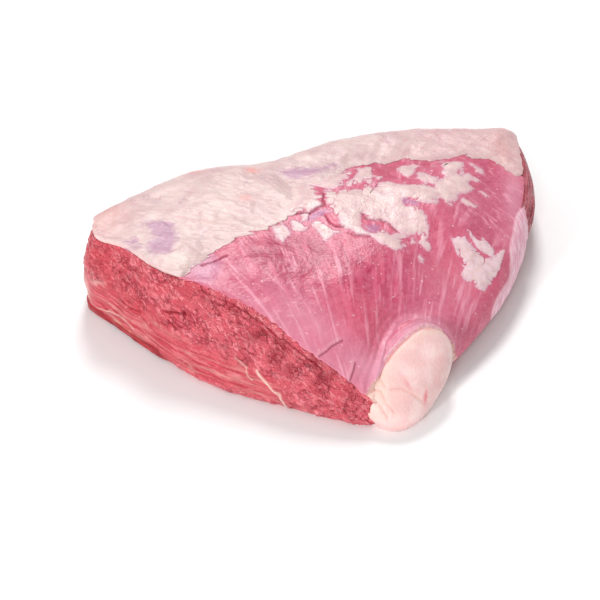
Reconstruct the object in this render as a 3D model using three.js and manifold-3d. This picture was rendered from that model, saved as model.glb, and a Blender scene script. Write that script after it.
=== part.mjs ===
// A raw veal roast: one rounded, wedge-shaped piece of lean with a knife-cut front face and left end.
// A cap of fat lies over its left part and down its back, a pad of fat closes its front tip,
// loose patches of fat lie on the skin of its top, and a strip of a second muscle runs in
// under the left front corner.
// Millimetres, +Z up. The roast lies on z = 0, with its cut face towards -Y. The origin is the
// middle of its box, on the floor.

import * as THREE from "three";
import { mergeVertices } from "three/addons/utils/BufferGeometryUtils.js";
import Module from "manifold-3d";

const wasm = await Module();
wasm.setup();

// Driving dimensions
const GAP = 0.35; // clearance between neighbouring pieces
const CROWN = { x: 14, y: -15, z: 58 }; // the top's middle, which the outline is drawn round
const FOOT_RADIUS = 5; // the rounded lower edge
const LEAST_ROUND = 2; // the sharpest rim that a knife leaves

// Stations round the lean, anticlockwise from above, from the left front corner.
// rim: the top edge, as if it were sharp. foot: where the wall lands.
// round: how far the rim is rounded off. belly: the wall's swelling.
const STATIONS = [
  { rim: [-129, -18, 60], foot: [-137, -16], round: 3, belly: 3 },
  { rim: [-112, -27, 60.5], foot: [-121, -31], round: 2.5, belly: 2 },
  { rim: [-90, -46, 60.5], foot: [-98, -52], round: 2.5, belly: 2 },
  { rim: [-63, -57, 59], foot: [-72, -74], round: 2.5, belly: 3 },
  { rim: [-37, -69, 54], foot: [-45, -88], round: 2.5, belly: 4 },
  { rim: [-10, -87, 43], foot: [-16, -98], round: 2.5, belly: 4 },
  { rim: [14, -99, 30], foot: [11, -107], round: 2.5, belly: 2 },
  { rim: [31, -105, 20], foot: [33, -110], round: 3, belly: 1 },
  { rim: [52, -88, 17], foot: [55, -86], round: 6, belly: 1 },
  { rim: [75, -70, 19], foot: [77, -66], round: 8, belly: 3 },
  { rim: [93, -51, 24], foot: [92, -44], round: 10, belly: 4 },
  { rim: [109, -29, 28], foot: [107, -20], round: 10, belly: 4 },
  { rim: [119, -2, 34], foot: [119, 4], round: 9, belly: 5 },
  { rim: [128, 30, 39], foot: [128, 34], round: 5, belly: 7 },
  { rim: [132, 60, 42], foot: [130, 66], round: 4, belly: 9 },
  { rim: [125, 99, 43], foot: [126, 105], round: 6, belly: 6 },
  { rim: [104, 100, 44], foot: [108, 111], round: 11, belly: 4 },
  { rim: [66, 97, 47], foot: [70, 109], round: 12, belly: 4 },
  { rim: [16, 82, 51], foot: [18, 95], round: 13, belly: 4 },
  { rim: [-28, 57, 54], foot: [-32, 71], round: 13, belly: 4 },
  { rim: [-72, 46, 56], foot: [-78, 58], round: 12, belly: 4 },
  { rim: [-98, 27, 57], foot: [-108, 40], round: 11, belly: 4 },
  { rim: [-121, 7, 58.5], foot: [-130, 20], round: 8, belly: 4 },
  { rim: [-130.5, -6, 59.5], foot: [-138, 1], round: 5, belly: 3 },
];

// Broad swells and hollows of the top: centre, reach along and across, turn in degrees, height
const SWELLS = [
  { x: 20, y: 28, along: 80, across: 22, turn: 20, height: 2.5 },
  { x: 62, y: 64, along: 70, across: 9, turn: 10, height: -2 },
  { x: 42, y: -72, along: 26, across: 12, turn: 60, height: -3 },
  { x: -70, y: -12, along: 40, across: 24, turn: 15, height: 1.5 },
];

// The fat cap, from the front edge round the left end and the back to the right back corner.
// at: the station, counted backwards past 0. from: where it starts on the top, as a share of the way out.
// down: the share of the wall that it covers, or below 0 the share of the rim's rounding that it leaves.
const CAP = {
  thickness: 4.2,
  lip: 3, // its depth along the knife cuts
  edge: 1.3, // its depth where it thins out on the top
  root: 2.5, // how deep its blank reaches in, before the lean is cut away
  stations: [
    { at: 2.9, from: 0.97, down: -0.8 },
    { at: 2.33, from: 0.87, down: -0.8 },
    { at: 2.05, from: 0.75, down: -0.8 },
    { at: 1.8, from: 0.63, down: -0.8 },
    { at: 1.27, from: 0.52, down: -0.8 },
    { at: 0, from: 0.41, down: -0.7 },
    { at: -1, from: 0.35, down: -0.5 },
    { at: -1.8, from: 0.32, down: 0.12 },
    { at: -2.7, from: 0.34, down: 0.5 },
    { at: -3.8, from: 0.33, down: 0.66 },
    { at: -4.5, from: 0.42, down: 0.58 },
    { at: -4.95, from: 0.7, down: 0.66 },
    { at: -5.5, from: 0.68, down: 0.72 },
    { at: -6.3, from: 0.73, down: 0.6 },
    { at: -7.1, from: 0.76, down: 0.68 },
    { at: -7.8, from: 0.73, down: 0.62 },
    { at: -8.5, from: 0.72, down: 0.6 },
    { at: -9.25, from: 0.79, down: 0.45 },
    { at: -9.6, from: 0.88, down: 0.1 },
    { at: -10, from: 0.95, down: -0.5 },
  ],
};

// The pad of fat over the front tip: its middle, its half sizes, and how it lies, in degrees
const KNOB = {
  middle: [50.5, -85, 16],
  half: [33.5, 21.5, 15],
  heading: 57, // its length, from +X, seen from above
  pitch: 22, // its inner end lies higher
  roll: 22, // its right side lies lower
  fullness: 0.8, // 1 is a plain ellipsoid, and less is boxier
};

// The strip of a second muscle under the left front corner, along the lean's lower edge
const FLAP = {
  from: -0.9, // the stations between which it shows
  to: 2.75,
  height: 8,
  proud: 1.5, // how far it stands out past the lean's foot
  reach: 26, // how far it runs in under the lean
  fullness: 0.5, // a flat strip with a round edge
};

// Loose patches of fat: middle, half length and half width, turn in degrees
const PATCH_HEIGHT = 1.2; // how far they stand proud of the skin
const PATCH_ROOT = 2.5; // how deep they are set in
const PATCH_SMALL = 7; // a patch of less half width gets fewer faces
const PATCHES = [
  { x: -2, y: 17, along: 12, across: 6, turn: 80 },
  { x: 8, y: 35, along: 11, across: 8, turn: 15 },
  { x: 27, y: 40, along: 9, across: 7.5, turn: 20 },
  { x: 29, y: 8, along: 22, across: 16, turn: 15 },
  { x: 62, y: 24, along: 12, across: 8, turn: 0 },
  { x: 55, y: 0, along: 13, across: 10, turn: 100 },
  { x: 42, y: -16, along: 9, across: 7.5, turn: 0 },
  { x: 4, y: -10, along: 8, across: 7, turn: 0 },
  { x: -9, y: -6, along: 5.5, across: 4.5, turn: 0 },
  { x: 56, y: 45, along: 7, across: 4.5, turn: 60 },
  { x: 66, y: 44, along: 6, across: 4.5, turn: 120 },
  { x: 84, y: 40, along: 15, across: 9, turn: 75 },
  { x: 101, y: 55, along: 5.5, across: 3.5, turn: 20 },
  { x: 94, y: 25, along: 6, across: 4.5, turn: 10 },
  { x: 63, y: -15, along: 5.5, across: 4, turn: 60 },
  { x: 98, y: -20, along: 15, across: 9, turn: 100 },
  { x: 84, y: -6, along: 12, across: 5, turn: 130 },
];

// Shares of the way down from the crown to the middle of the underside
const SHARE = { top: 0.46, round: 0.1, wall: 0.24, foot: 0.06 };
const WALL_TOP = SHARE.top + SHARE.round;
const WALL_END = WALL_TOP + SHARE.wall;
const FOOT_END = WALL_END + SHARE.foot;

const COLOURS = { lean: 0xc4455c, fat: 0xecdcd6, flap: 0xc05060 };

const smooth = THREE.MathUtils.smoothstep;
const mix = THREE.MathUtils.lerp;
const radians = THREE.MathUtils.degToRad;

// Closed curves through the stations, for the rim, the foot, and the round and belly
const closedCurve = (points) => new THREE.CatmullRomCurve3(points, true, "centripetal");
const rimCurve = closedCurve(STATIONS.map((s) => new THREE.Vector3(...s.rim)));
const footCurve = closedCurve(STATIONS.map((s) => new THREE.Vector3(...s.foot, 0)));
const traitCurve = closedCurve(STATIONS.map((s) => new THREE.Vector3(s.round, s.belly, 0)));

// A gentle unevenness, as of hand-trimmed meat
function ripple(x, y) {
  const broad = 0.7 * Math.sin(x / 11 + 1.7 * Math.sin(y / 19));
  const fine = 0.5 * Math.sin(y / 9 + 1.3 * Math.sin(x / 15 + 2));
  return broad + fine;
}

function swell(x, y) {
  let total = 0;
  for (const s of SWELLS) {
    const turn = radians(s.turn);
    const along = (x - s.x) * Math.cos(turn) + (y - s.y) * Math.sin(turn);
    const across = (y - s.y) * Math.cos(turn) - (x - s.x) * Math.sin(turn);
    total += s.height * Math.exp(-((along / s.along) ** 2) - (across / s.across) ** 2);
  }
  return total;
}

// A point of the top, r of the way from the crown to the rim. The unevenness fades out at the rim.
function topPoint(rim, r) {
  const x = mix(CROWN.x, rim.x, r);
  const y = mix(CROWN.y, rim.y, r);
  const fade = 1 - smooth(r, 0.75, 1);
  const z = CROWN.z + (rim.z - CROWN.z) * r * r + (swell(x, y) + ripple(x, y)) * fade;
  return new THREE.Vector3(x, y, z);
}

// A point of the wall, down of the way from the rim to the foot's rounding
function wallPoint(rim, foot, out, belly, down) {
  const bulge = belly * Math.sin(Math.PI * down);
  return new THREE.Vector3(
    mix(rim.x, foot.x, down) + out.x * bulge,
    mix(rim.y, foot.y, down) + out.y * bulge,
    mix(rim.z, FOOT_RADIUS, down),
  );
}

// A point of the lean's surface: u goes round the stations, s down from the crown to the
// underside's middle, over the top, the rim's rounding, the wall, the foot's rounding and the base.
function leanPoint(u, s) {
  const rim = rimCurve.getPoint(u);
  const foot = footCurve.getPoint(u);
  const trait = traitCurve.getPoint(u);
  const round = Math.max(trait.x, LEAST_ROUND);
  const belly = Math.max(trait.y, 0);
  const out = new THREE.Vector2(rim.x - CROWN.x, rim.y - CROWN.y);
  const topEnd = 1 - round / out.length();
  const wallStart = Math.min(round / (rim.z - FOOT_RADIUS), 0.6);
  out.normalize();
  if (s < SHARE.top) return topPoint(rim, (s / SHARE.top) * topEnd);
  if (s < WALL_TOP) {
    const from = topPoint(rim, topEnd);
    const to = wallPoint(rim, foot, out, belly, wallStart);
    return new THREE.QuadraticBezierCurve3(from, rim, to).getPoint((s - SHARE.top) / SHARE.round);
  }
  if (s < WALL_END) {
    const down = mix(wallStart, 1, (s - WALL_TOP) / SHARE.wall);
    return wallPoint(rim, foot, out, belly, down);
  }
  if (s < FOOT_END) {
    const angle = ((s - WALL_END) / SHARE.foot) * (Math.PI / 2);
    const tuck = FOOT_RADIUS * (1 - Math.cos(angle));
    const height = FOOT_RADIUS * (1 - Math.sin(angle));
    return new THREE.Vector3(foot.x - out.x * tuck, foot.y - out.y * tuck, height);
  }
  const inward = (s - FOOT_END) / (1 - FOOT_END);
  return new THREE.Vector3(
    mix(foot.x - out.x * FOOT_RADIUS, CROWN.x, inward),
    mix(foot.y - out.y * FOOT_RADIUS, CROWN.y, inward),
    0,
  );
}

// The surface's outward normal there, from two short steps along it
function leanNormal(u, s) {
  const step = 0.004;
  const around = leanPoint((u + step) % 1, s).sub(leanPoint((u - step + 1) % 1, s));
  const down = leanPoint(u, s + step).sub(leanPoint(u, s - step));
  return down.cross(around).normalize();
}

// A closed mesh from a blank whose every corner is moved by place(corner)
function shaped(blank, place) {
  const bare = new THREE.BufferGeometry();
  bare.setAttribute("position", blank.getAttribute("position").clone());
  bare.setIndex(blank.index);
  const merged = mergeVertices(bare, 1e-4);
  const position = merged.getAttribute("position");
  const corner = new THREE.Vector3();
  for (let i = 0; i < position.count; i++) {
    corner.fromBufferAttribute(position, i);
    position.setXYZ(i, ...place(corner).toArray());
  }
  return merged;
}

function solidOf(geometry) {
  return new wasm.Manifold(
    new wasm.Mesh({
      numProp: 3,
      vertProperties: new Float32Array(geometry.getAttribute("position").array),
      triVerts: new Uint32Array(geometry.index.array),
    }),
  );
}

function geometryOf(solid) {
  const mesh = solid.getMesh();
  const geometry = new THREE.BufferGeometry();
  geometry.setAttribute("position", new THREE.BufferAttribute(mesh.vertProperties, 3));
  geometry.setIndex(new THREE.BufferAttribute(mesh.triVerts, 1));
  geometry.computeVertexNormals();
  return geometry;
}

// The lean: a unit ball pressed to its form, grown outwards by swollen
const BALL_ROUND = 86;
const BALL_DOWN = 30;
function leanSolid(swollen) {
  const ball = new THREE.SphereGeometry(1, BALL_ROUND, BALL_DOWN).rotateX(Math.PI / 2);
  const pole = 1e-3; // the crown and the underside's middle have no way round
  return solidOf(
    shaped(ball, (corner) => {
      const s = Math.acos(THREE.MathUtils.clamp(corner.z, -1, 1)) / Math.PI;
      if (s < pole) return leanPoint(0, 0).add(new THREE.Vector3(0, 0, swollen));
      if (s > 1 - pole) return new THREE.Vector3(CROWN.x, CROWN.y, -swollen);
      const u = (Math.atan2(corner.y, corner.x) / (2 * Math.PI) + 1.5) % 1;
      return leanPoint(u, s).addScaledVector(leanNormal(u, s), swollen);
    }),
  );
}

// The cap's blank: a bent slab from its start on the top to its end on the wall
const CAP_ROUND = 58;
const CAP_DOWN = 9;
const CAP_REACH = 70; // the shortest way from the crown to the rim
const capCurve = new THREE.CatmullRomCurve3(
  CAP.stations.map((c) => new THREE.Vector3(c.at, c.from, c.down)),
  false,
  "centripetal",
);
function capBlank(swollen) {
  const slab = new THREE.BoxGeometry(1, 1, 1, CAP_ROUND, CAP_DOWN, 1);
  return solidOf(
    shaped(slab, (corner) => {
      const { x: at, y: from, z: down } = capCurve.getPoint(corner.x + 0.5);
      const u = (at / STATIONS.length + 1) % 1;
      const start = (from - swollen / CAP_REACH) * SHARE.top;
      const end = WALL_TOP + down * (down > 0 ? SHARE.wall : SHARE.round);
      const across = corner.y + 0.5;
      const s = mix(start, end, across);
      const full = mix(CAP.thickness, CAP.lip, smooth(-down, -0.2, 0.5));
      const depth = mix(CAP.edge, full, smooth(across, 0, 0.4)) + swollen;
      const lift = corner.z > 0 ? GAP + depth : -CAP.root;
      return leanPoint(u, s).addScaledVector(leanNormal(u, s), lift);
    }),
  );
}

// A number from -1 to 1 moved towards its nearer end, which makes a ball boxier
const fuller = (value, fullness) => Math.sign(value) * Math.abs(value) ** fullness;

// The knob's blank: a full ellipsoid, leaning up the slope and over to the right
function knobBlank() {
  const lie = new THREE.Euler(radians(KNOB.roll), radians(-KNOB.pitch), radians(KNOB.heading), "ZYX");
  const middle = new THREE.Vector3(...KNOB.middle);
  const ball = new THREE.SphereGeometry(1, 26, 14);
  return solidOf(
    shaped(ball, (corner) => {
      const sides = corner.toArray().map((value, i) => KNOB.half[i] * fuller(value, KNOB.fullness));
      return new THREE.Vector3(...sides).applyEuler(lie).add(middle);
    }),
  );
}

// The flap: a ball drawn out into a flat strip and bent along the lean's foot, grown by swollen
function flapSolid(swollen) {
  const ball = new THREE.SphereGeometry(1, 12, 18).rotateZ(-Math.PI / 2);
  const halfHeight = FLAP.height / 2;
  const halfWide = (FLAP.reach + FLAP.proud) / 2;
  return solidOf(
    shaped(ball, (corner) => {
      const girth = Math.sqrt(Math.max(1 - corner.x ** 2, 1e-9));
      const across = fuller(-corner.y / girth, FLAP.fullness);
      const up = fuller(corner.z / girth, FLAP.fullness);
      const slim = Math.sqrt(Math.max(1 - Math.abs(corner.x) ** 6, 0));
      const u = (mix(FLAP.from, FLAP.to, (corner.x + 1) / 2) / STATIONS.length + 1) % 1;
      const rim = rimCurve.getPoint(u);
      const foot = footCurve.getPoint(u);
      const out = new THREE.Vector2(rim.x - CROWN.x, rim.y - CROWN.y).normalize();
      const reach = FLAP.proud - halfWide + (halfWide * slim + swollen) * across;
      const height = halfHeight + (halfHeight * slim + swollen) * up;
      return new THREE.Vector3(foot.x + out.x * reach, foot.y + out.y * reach, height);
    }),
  );
}

// The top's height at a place seen from above: the station that lies that way is found by halving
function topHeight(x, y) {
  const turnTo = (px, py) => {
    const start = Math.atan2(STATIONS[0].rim[1] - CROWN.y, STATIONS[0].rim[0] - CROWN.x);
    return THREE.MathUtils.euclideanModulo(Math.atan2(py - CROWN.y, px - CROWN.x) - start, 2 * Math.PI);
  };
  const wanted = turnTo(x, y);
  let low = 0;
  let high = 1;
  for (let i = 0; i < 30; i++) {
    const u = (low + high) / 2;
    const rim = rimCurve.getPoint(u);
    if (turnTo(rim.x, rim.y) < wanted) low = u;
    else high = u;
  }
  const rim = rimCurve.getPoint(low);
  const r = Math.hypot(x - CROWN.x, y - CROWN.y) / Math.hypot(rim.x - CROWN.x, rim.y - CROWN.y);
  return topPoint(rim, r).z;
}

// A loose patch: a low mound with an uneven outline, set into the skin
function patchSolid(patch) {
  const small = patch.across < PATCH_SMALL;
  const mound = [[0, -1], [1, 0], [0.84, 1], ...(small ? [] : [[0.5, 1]]), [0, 1]];
  const profile = mound.map(([x, y]) => new THREE.Vector2(x, y));
  const blank = new THREE.LatheGeometry(profile, small ? 8 : 11).rotateX(Math.PI / 2);
  const turn = radians(patch.turn);
  return solidOf(
    shaped(blank, (corner) => {
      const way = Math.atan2(corner.y, corner.x);
      const uneven = 1 + 0.1 * Math.sin(3 * way + patch.x) + 0.08 * Math.sin(5 * way + patch.y);
      const along = corner.x * patch.along * uneven;
      const across = corner.y * patch.across * uneven;
      const x = patch.x + along * Math.cos(turn) - across * Math.sin(turn);
      const y = patch.y + along * Math.sin(turn) + across * Math.cos(turn);
      const lift = corner.z > 0 ? PATCH_HEIGHT * corner.z : PATCH_ROOT * corner.z;
      return new THREE.Vector3(x, y, topHeight(x, y) + lift);
    }),
  );
}

// Everything below the floor
const floorBlock = new THREE.BoxGeometry(400, 400, 60).translate(0, 0, -30);
const belowFloor = solidOf(shaped(floorBlock, (corner) => corner.clone()));

// Each piece gives way to its neighbour: the lean to the flap, the fat to the lean, the patches to the cap
const leanRoom = leanSolid(GAP);
const capRoom = capBlank(2 * GAP);
const flap = flapSolid(0);
const cap = capBlank(0).subtract(leanRoom);
const knob = knobBlank().subtract(leanRoom).subtract(belowFloor);
let lean = leanSolid(0).subtract(flapSolid(GAP));
for (const patch of PATCHES) lean = lean.add(patchSolid(patch).subtract(capRoom));

const roast = new THREE.Group();
function addPiece(name, solid, colour, roughness) {
  const material = new THREE.MeshStandardMaterial({ color: colour, roughness, metalness: 0 });
  const mesh = new THREE.Mesh(geometryOf(solid), material);
  mesh.name = name;
  roast.add(mesh);
}
addPiece("lean", lean, COLOURS.lean, 0.42);
addPiece("fat_cap", cap, COLOURS.fat, 0.5);
addPiece("fat_knob", knob, COLOURS.fat, 0.5);
addPiece("flap", flap, COLOURS.flap, 0.42);

export default roast;
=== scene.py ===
# A raw veal roast, lying on its flat side: a wedge of lean meat with a knife-cut front, the thin
# skin of its natural top with loose patches of fat, a fat cap down its back, and a fat knob.
# The roast's sizes are in millimetres, and MM turns them to Blender's metres. The view, the lamps and
# the floor are in metres.
import itertools
import math

import bmesh
import bpy
import numpy as np
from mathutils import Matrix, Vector


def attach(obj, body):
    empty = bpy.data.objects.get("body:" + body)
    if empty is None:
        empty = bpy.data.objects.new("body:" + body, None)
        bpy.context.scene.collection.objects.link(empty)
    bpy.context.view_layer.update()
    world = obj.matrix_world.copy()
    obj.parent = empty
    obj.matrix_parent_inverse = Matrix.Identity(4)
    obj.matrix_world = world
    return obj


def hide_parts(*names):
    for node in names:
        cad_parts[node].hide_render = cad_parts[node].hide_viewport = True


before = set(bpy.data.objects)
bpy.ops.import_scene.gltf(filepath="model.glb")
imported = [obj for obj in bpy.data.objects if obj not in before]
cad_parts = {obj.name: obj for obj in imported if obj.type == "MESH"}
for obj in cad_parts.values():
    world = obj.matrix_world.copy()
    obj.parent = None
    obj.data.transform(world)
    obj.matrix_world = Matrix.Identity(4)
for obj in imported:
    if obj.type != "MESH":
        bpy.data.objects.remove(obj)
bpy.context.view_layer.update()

# The view: from in front of the cut face and 45 degrees above the floor, with a long lens.
LOOK_AT = Vector((-0.0095, -0.0085, 0))
LOOK_FROM_DISTANCE = 0.868
LOOK_DOWN = math.radians(45)
camera = bpy.data.objects.new("camera", bpy.data.cameras.new("camera"))
camera.data.lens = 85
camera.data.sensor_width = 36
camera.location = LOOK_AT + LOOK_FROM_DISTANCE * Vector((0, -math.cos(LOOK_DOWN), math.sin(LOOK_DOWN)))
camera.rotation_euler = (math.pi / 2 - LOOK_DOWN, 0, 0)
bpy.context.scene.collection.objects.link(camera)
bpy.context.scene.camera = camera
bpy.context.scene.view_settings.view_transform = "Standard"

# The light: a white room, a soft lamp high behind the roast, one in front of it,
# and a small low one that picks out the wet cut face.
ROOM_STRENGTH = 0.5
LAMPS_AIM = Vector((0, 0, 0.03))
studio = bpy.data.worlds.new("studio")
studio.use_nodes = True
background = studio.node_tree.nodes["Background"]
background.inputs["Color"].default_value = (1, 1, 1, 1)
background.inputs["Strength"].default_value = ROOM_STRENGTH
bpy.context.scene.world = studio


def soft_lamp(name, place, size, watts):
    lamp = bpy.data.objects.new(name, bpy.data.lights.new(name, "AREA"))
    lamp.data.size = size
    lamp.data.energy = watts
    lamp.location = place
    lamp.rotation_euler = (LAMPS_AIM - Vector(place)).to_track_quat("-Z", "Y").to_euler()
    bpy.context.scene.collection.objects.link(lamp)


soft_lamp("key_lamp", place=(0, 0.74, 1.1), size=0.35, watts=9.8)
soft_lamp("front_lamp", place=(-0.25, -1.1, 0.95), size=0.24, watts=3.3)
soft_lamp("low_lamp", place=(-0.6, -0.9, 0.34), size=0.1, watts=5.8)

# The floor: a plain white table top, well past the edges of the view.
FLOOR_HALF, FLOOR_WHITE, FLOOR_ROUGHNESS = 3, 0.98, 0.9
bm = bmesh.new()
bmesh.ops.create_grid(bm, x_segments=1, y_segments=1, size=FLOOR_HALF)
floor_mesh = bpy.data.meshes.new("floor")
bm.to_mesh(floor_mesh)
bm.free()
floor = bpy.data.objects.new("floor", floor_mesh)
bpy.context.scene.collection.objects.link(floor)
floor_paint = bpy.data.materials.new("floor_white")
floor_paint.use_nodes = True
floor_shader = floor_paint.node_tree.nodes["Principled BSDF"]
floor_shader.inputs["Base Color"].default_value = (FLOOR_WHITE, FLOOR_WHITE, FLOOR_WHITE, 1)
floor_shader.inputs["Roughness"].default_value = FLOOR_ROUGHNESS
floor_shader.inputs["Specular IOR Level"].default_value = 0
floor.data.materials.append(floor_paint)

# The lean: one muscle block with a rounded natural top, hand-cut along its front and left end.
# The cut shows the bundles of fibres end on, torn a little where the knife dragged, wet and glossy.
MM = 0.001
# The crown of the top, and the radius of the lower edge, in mm
CROWN = np.array([14, -15, 58])
FOOT_RADIUS = 5
# The least rounding of the upper edge, the most of the wall it takes, and its run for each mm of rounding
LEAST_ROUND, MOST_OF_WALL, EDGE_RUN = 2, 0.6, 1.6
# The shares of the way from the crown to the underside that are top, rounded edge, wall and foot
TOP, ROUND, WALL, FOOT = 0.46, 0.1, 0.24, 0.06
WALL_TOP = TOP + ROUND
WALL_END = WALL_TOP + WALL
FOOT_END = WALL_END + FOOT
# Stations round the outline, anticlockwise from the left front corner:
# the top edge, where the wall lands, how far the edge is rounded, and the wall's swelling.
STATIONS = [
    ((-129, -18, 60), (-137, -16), 3, 3), ((-112, -27, 60.5), (-121, -31), 2.5, 2),
    ((-90, -46, 60.5), (-98, -52), 2.5, 2), ((-63, -57, 59), (-72, -74), 2.5, 3),
    ((-37, -69, 54), (-45, -88), 2.5, 4), ((-10, -87, 43), (-16, -98), 2.5, 4),
    ((14, -99, 30), (11, -107), 2.5, 2), ((31, -105, 20), (33, -110), 3, 1),
    ((52, -88, 17), (55, -86), 6, 1), ((75, -70, 19), (77, -66), 8, 3),
    ((93, -51, 24), (92, -44), 10, 4), ((109, -29, 28), (107, -20), 10, 4),
    ((119, -2, 34), (119, 4), 9, 5), ((128, 30, 39), (128, 34), 5, 7),
    ((132, 60, 42), (130, 66), 4, 9), ((125, 99, 43), (126, 105), 6, 6),
    ((104, 100, 44), (108, 111), 11, 4), ((66, 97, 47), (70, 109), 12, 4),
    ((16, 82, 51), (18, 95), 13, 4), ((-28, 57, 54), (-32, 71), 13, 4),
    ((-72, 46, 56), (-78, 58), 12, 4), ((-98, 27, 57), (-108, 40), 11, 4),
    ((-121, 7, 58.5), (-130, 20), 8, 4), ((-130.5, -6, 59.5), (-138, 1), 5, 3),
]
COUNT_ROUND = len(STATIONS)
# Broad swells and hollows of the top: height, middle, half sizes and turn in degrees
SWELLS = [
    (2.5, (20, 28), (80, 22), 20), (-2, (62, 64), (70, 9), 10), (-3, (42, -72), (26, 12), 60),
    (1.5, (-70, -12), (40, 24), 15),
]


def through(points, closed=True):
    """A smooth curve through the points, as a function of the share of the way along it."""
    points = np.asarray(points, float)
    count = len(points)
    if not closed:
        points = np.vstack([2 * points[0] - points[1], points, 2 * points[-1] - points[-2]])

    def at(share):
        share = np.asarray(share, float)
        step = (share % 1) * count if closed else np.clip(share, 0, 1) * (count - 1)
        first = np.floor(step).astype(int)
        if not closed:
            first = np.minimum(first, count - 2)
        w = (step - first)[..., None]
        p = [points[(first + k - 1) % count] if closed else points[first + k] for k in range(4)]
        gap = [np.sqrt(np.linalg.norm(p[k + 1] - p[k], axis=-1))[..., None] for k in range(3)]
        gap[1] = np.where(gap[1] < 1e-4, 1, gap[1])
        gap[0] = np.where(gap[0] < 1e-4, gap[1], gap[0])
        gap[2] = np.where(gap[2] < 1e-4, gap[1], gap[2])
        leave = ((p[1] - p[0]) / gap[0] - (p[2] - p[0]) / (gap[0] + gap[1])) * gap[1] + p[2] - p[1]
        arrive = ((p[3] - p[2]) / gap[2] - (p[3] - p[1]) / (gap[1] + gap[2])) * gap[1] + p[2] - p[1]
        bend = 3 * (p[2] - p[1]) - 2 * leave - arrive
        return p[1] + leave * w + bend * w**2 + (2 * (p[1] - p[2]) + leave + arrive) * w**3

    return at


rim_at = through([s[0] for s in STATIONS])
foot_at = through([s[1] for s in STATIONS])
trait_at = through([s[2:] for s in STATIONS])


def ease(value, low, high):
    """0 below low, 1 above high, and smooth between."""
    t = np.clip((value - low) / (high - low), 0, 1)
    return t * t * (3 - 2 * t)


def band(value, start, full, fading, end):
    """1 from full to fading, and eased to 0 at the start and the end."""
    return ease(value, start, full) * (1 - ease(value, fading, end))


def near(x, y, middle, reach, turn=0):
    """1 at the middle of an oval, falling off over its two half sizes."""
    turn = math.radians(turn)
    along = (x - middle[0]) * math.cos(turn) + (y - middle[1]) * math.sin(turn)
    across = (y - middle[1]) * math.cos(turn) - (x - middle[0]) * math.sin(turn)
    return np.exp(-((along / reach[0]) ** 2) - (across / reach[1]) ** 2)


def spots(x, y, ovals):
    """Soft ovals added up: each has a strength, a middle, two half sizes and a turn in degrees."""
    return sum(strength * near(x, y, middle, reach, turn) for strength, middle, reach, turn in ovals)


def line_like(distance, half_width):
    """1 on a line, falling off to both sides of it."""
    return np.exp(-((distance / half_width) ** 2))


def top_place(rim, r):
    """A place on the natural top, r of the way from the crown to the edge."""
    plan = CROWN[:2] + (rim[:, :2] - CROWN[:2]) * r[:, None]
    x, y = plan[:, 0], plan[:, 1]
    ripples = 0.7 * np.sin(x / 11 + 1.7 * np.sin(y / 19)) + 0.5 * np.sin(y / 9 + 1.3 * np.sin(x / 15 + 2))
    uneven = ripples + spots(x, y, SWELLS)
    z = CROWN[2] + (rim[:, 2] - CROWN[2]) * r**2 + uneven * (1 - ease(r, 0.75, 1))
    return np.column_stack([x, y, z])


def lean_place(turn, down):
    """The lean's surface in mm: turn goes round the stations, down from the crown to the underside."""
    rim, foot, trait = rim_at(turn), foot_at(turn), trait_at(turn)
    round_, belly = np.maximum(trait[:, 0], LEAST_ROUND), np.maximum(trait[:, 1], 0)
    out = rim[:, :2] - CROWN[:2]
    length = np.linalg.norm(out, axis=1)
    out = out / length[:, None]
    top_end = 1 - round_ / length
    wall_start = np.minimum(round_ / (rim[:, 2] - FOOT_RADIUS), MOST_OF_WALL)

    def wall_place(share):
        bulge = belly * np.sin(math.pi * share)
        plan = rim[:, :2] + (foot - rim[:, :2]) * share[:, None] + out * bulge[:, None]
        return np.column_stack([plan, rim[:, 2] + (FOOT_RADIUS - rim[:, 2]) * share])

    over_top = top_place(rim, np.clip(down / TOP, 0, 1) * top_end)
    b = np.clip((down - TOP) / ROUND, 0, 1)[:, None]
    over_edge = (1 - b) ** 2 * top_place(rim, top_end) + 2 * b * (1 - b) * rim + b**2 * wall_place(wall_start)
    w = np.clip((down - WALL_TOP) / WALL, 0, 1)
    on_wall = wall_place(wall_start + (1 - wall_start) * w)
    angle = np.clip((down - WALL_END) / FOOT, 0, 1) * math.pi / 2
    tuck = (FOOT_RADIUS * (1 - np.cos(angle)))[:, None]
    on_foot = np.column_stack([foot - out * tuck, FOOT_RADIUS * (1 - np.sin(angle))])
    inward = np.clip((down - FOOT_END) / (1 - FOOT_END), 0, 1)[:, None]
    base = foot - out * FOOT_RADIUS
    on_base = np.column_stack([base + (CROWN[:2] - base) * inward, np.zeros(len(down))])
    ends = (TOP, WALL_TOP, WALL_END, FOOT_END)
    part = [np.broadcast_to((down < end)[:, None], on_base.shape) for end in ends]
    return np.select(part, [over_top, over_edge, on_wall, on_foot], on_base)


def lean_outward(turn, down):
    """The surface's outward direction there."""
    step = 0.004
    around = lean_place(turn + step, down) - lean_place(turn - step, down)
    downward = lean_place(turn, down + step) - lean_place(turn, np.maximum(down - step, 1e-6))
    out = np.cross(downward, around)
    return out / np.maximum(np.linalg.norm(out, axis=1), 1e-9)[:, None]


def run_lengths(turn):
    """How far it is, in mm, over the top, round the edge and down the wall."""
    rim, foot, trait = rim_at(turn), foot_at(turn), trait_at(turn)
    round_ = np.maximum(trait[:, 0], LEAST_ROUND)
    over_top = np.linalg.norm(rim[:, :2] - CROWN[:2], axis=1) - round_
    drop = np.linalg.norm(rim - np.column_stack([foot, np.full(len(foot), FOOT_RADIUS)]), axis=1) - round_
    return over_top, round_ * EDGE_RUN, drop


def run_to(turn, down):
    """The run from the crown, in mm, to that share down."""
    over_top, over_edge, wall = run_lengths(turn)
    run = over_top * np.clip(down / TOP, 0, 1) + over_edge * np.clip((down - TOP) / ROUND, 0, 1)
    return run + wall * np.clip((down - WALL_TOP) / WALL, 0, 1)


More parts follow.
